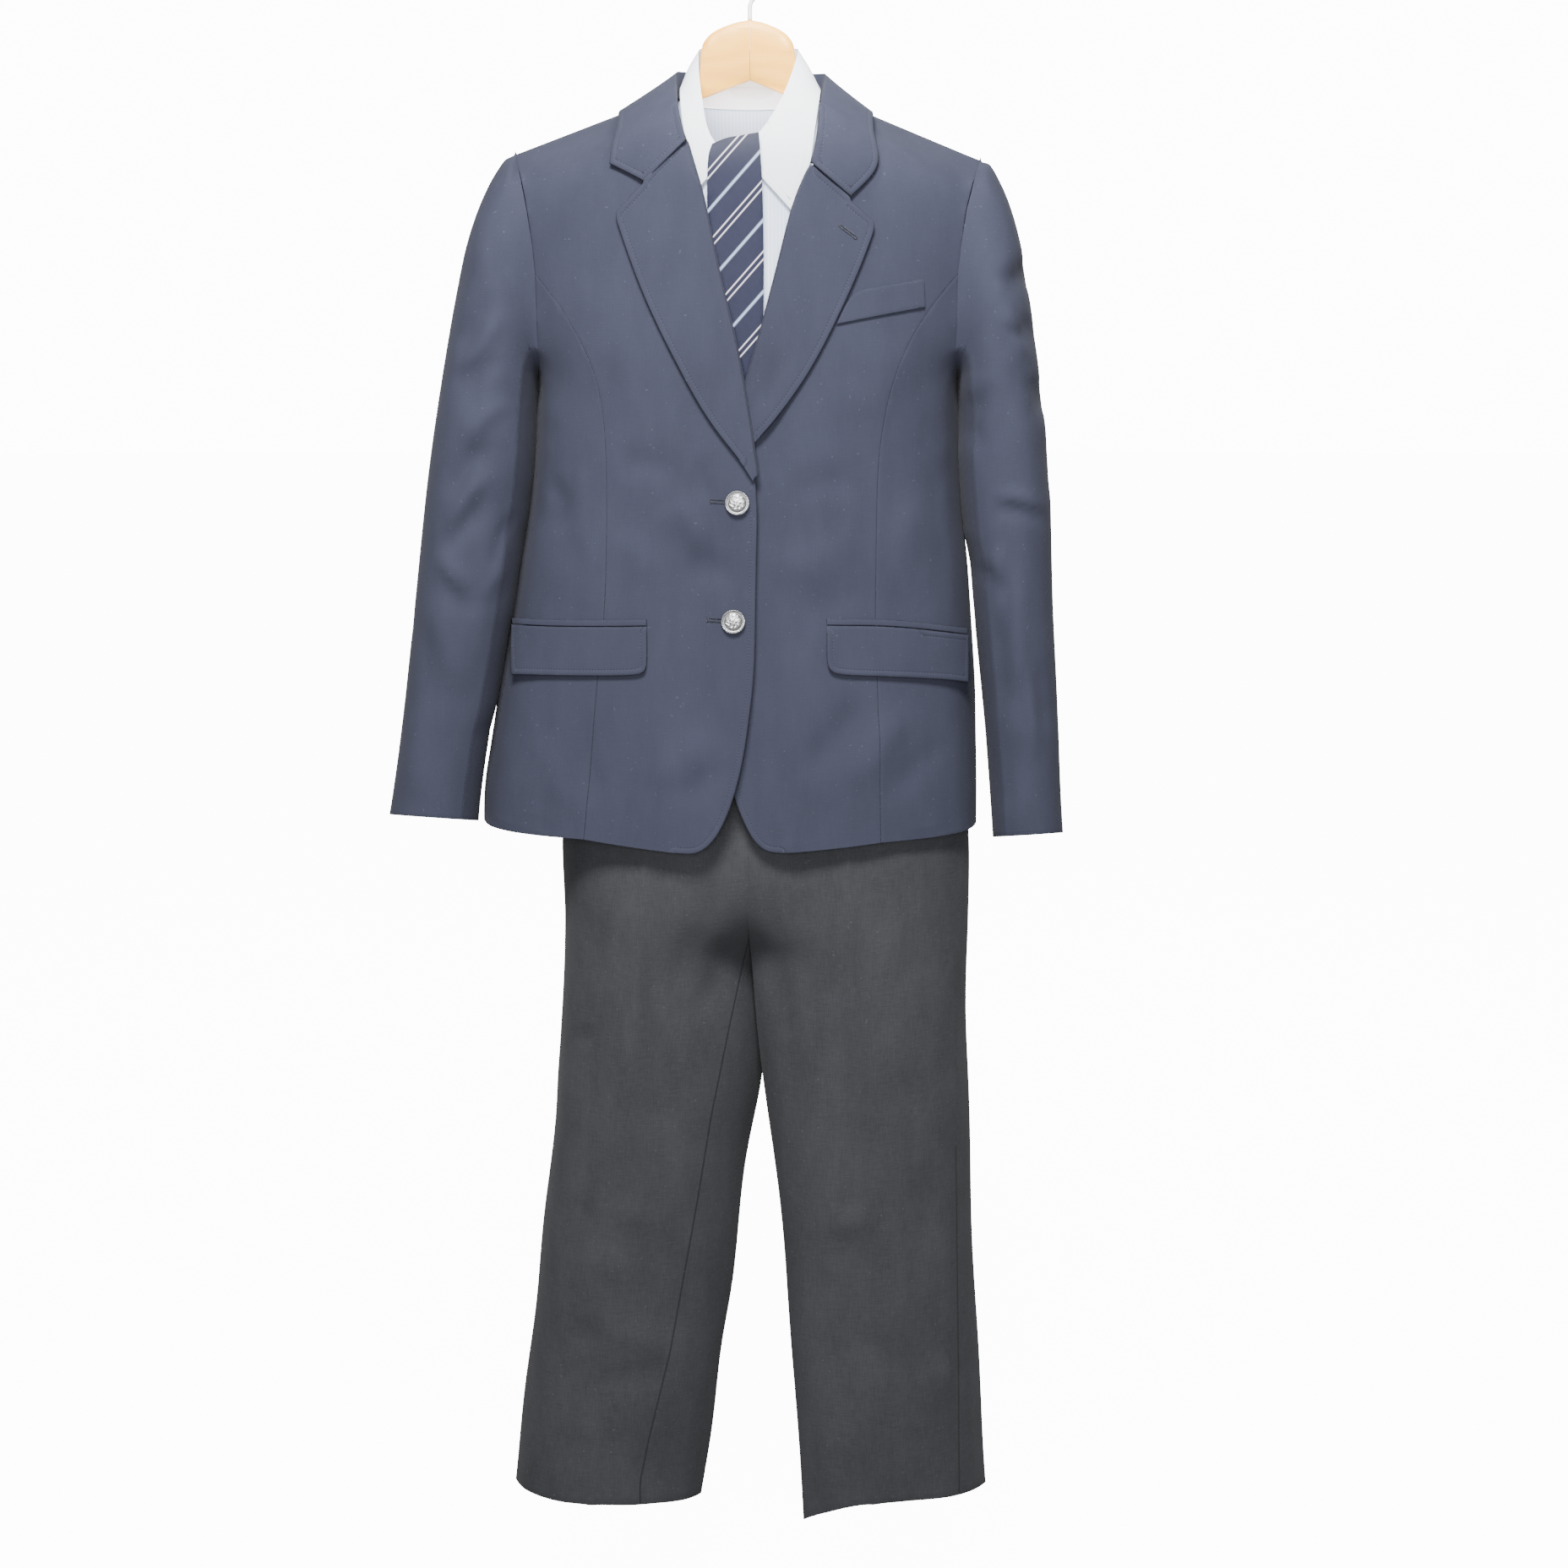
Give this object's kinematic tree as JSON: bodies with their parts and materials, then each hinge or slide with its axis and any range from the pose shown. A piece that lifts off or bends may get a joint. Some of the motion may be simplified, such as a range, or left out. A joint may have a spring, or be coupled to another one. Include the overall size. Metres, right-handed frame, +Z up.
{
  "type": "school uniform on a wooden hanger",
  "caption": "Navy single-breasted school blazer over a pale blue shirt and striped tie, with charcoal trousers, all hung from one wooden hanger.",
  "frame": {"origin": "inner top of the hanger's hook, where a rail bears", "axes": "+Z up, -Y to the garment's front, +X to the viewer's right"},
  "size_m": [0.5683, 0.1563, 1.338],
  "materials": {
    "navy_cloth": "soft wool-blend suiting with a low sheen",
    "charcoal_cloth": "plain-weave trouser suiting, faint melange",
    "striped_shirting": "pale blue cotton blend with fine white stripes",
    "white_shirting": "smooth white cotton blend",
    "tie_silk": "navy with diagonal double white and single pale blue stripes",
    "varnished_wood": "clear varnish, satin",
    "hook_paint": "white paint on steel wire",
    "bright_steel": "bright steel wire and pressed clips",
    "button_metal": "aged silver finish"
  },
  "bodies": {
    "root": {"blazer_back_left": "navy_cloth", "blazer_back_right": "navy_cloth", "blazer_button_1": "button_metal", "blazer_button_2": "button_metal", "blazer_chest_welt": "navy_cloth", "blazer_collar": "navy_cloth", "blazer_flap_left": "navy_cloth", "blazer_flap_right": "navy_cloth", "blazer_front_left": "navy_cloth", "blazer_front_right": "navy_cloth", "blazer_lapel_left": "navy_cloth", "blazer_lapel_right": "navy_cloth", "blazer_pocket_jet_left": "navy_cloth", "blazer_pocket_jet_right": "navy_cloth", "blazer_side_back_left": "navy_cloth", "blazer_side_back_right": "navy_cloth", "blazer_side_front_left": "navy_cloth", "blazer_side_front_right": "navy_cloth", "blazer_top_sleeve_left": "navy_cloth", "blazer_top_sleeve_right": "navy_cloth", "blazer_under_sleeve_left": "navy_cloth", "blazer_under_sleeve_right": "navy_cloth", "hanger_arm_left": "varnished_wood", "hanger_arm_right": "varnished_wood", "hanger_clip_left": "bright_steel", "hanger_clip_right": "bright_steel", "hanger_hook": "hook_paint", "hanger_trouser_rail": "bright_steel", "shirt_back": "striped_shirting", "shirt_collar": "white_shirting", "shirt_front_left": "striped_shirting", "shirt_front_right": "striped_shirting", "shirt_neck_label": "white_shirting", "tie": "tie_silk", "trousers_back_left": "charcoal_cloth", "trousers_back_right": "charcoal_cloth", "trousers_front_left": "charcoal_cloth", "trousers_front_right": "charcoal_cloth"}
  },
  "joints": []
}
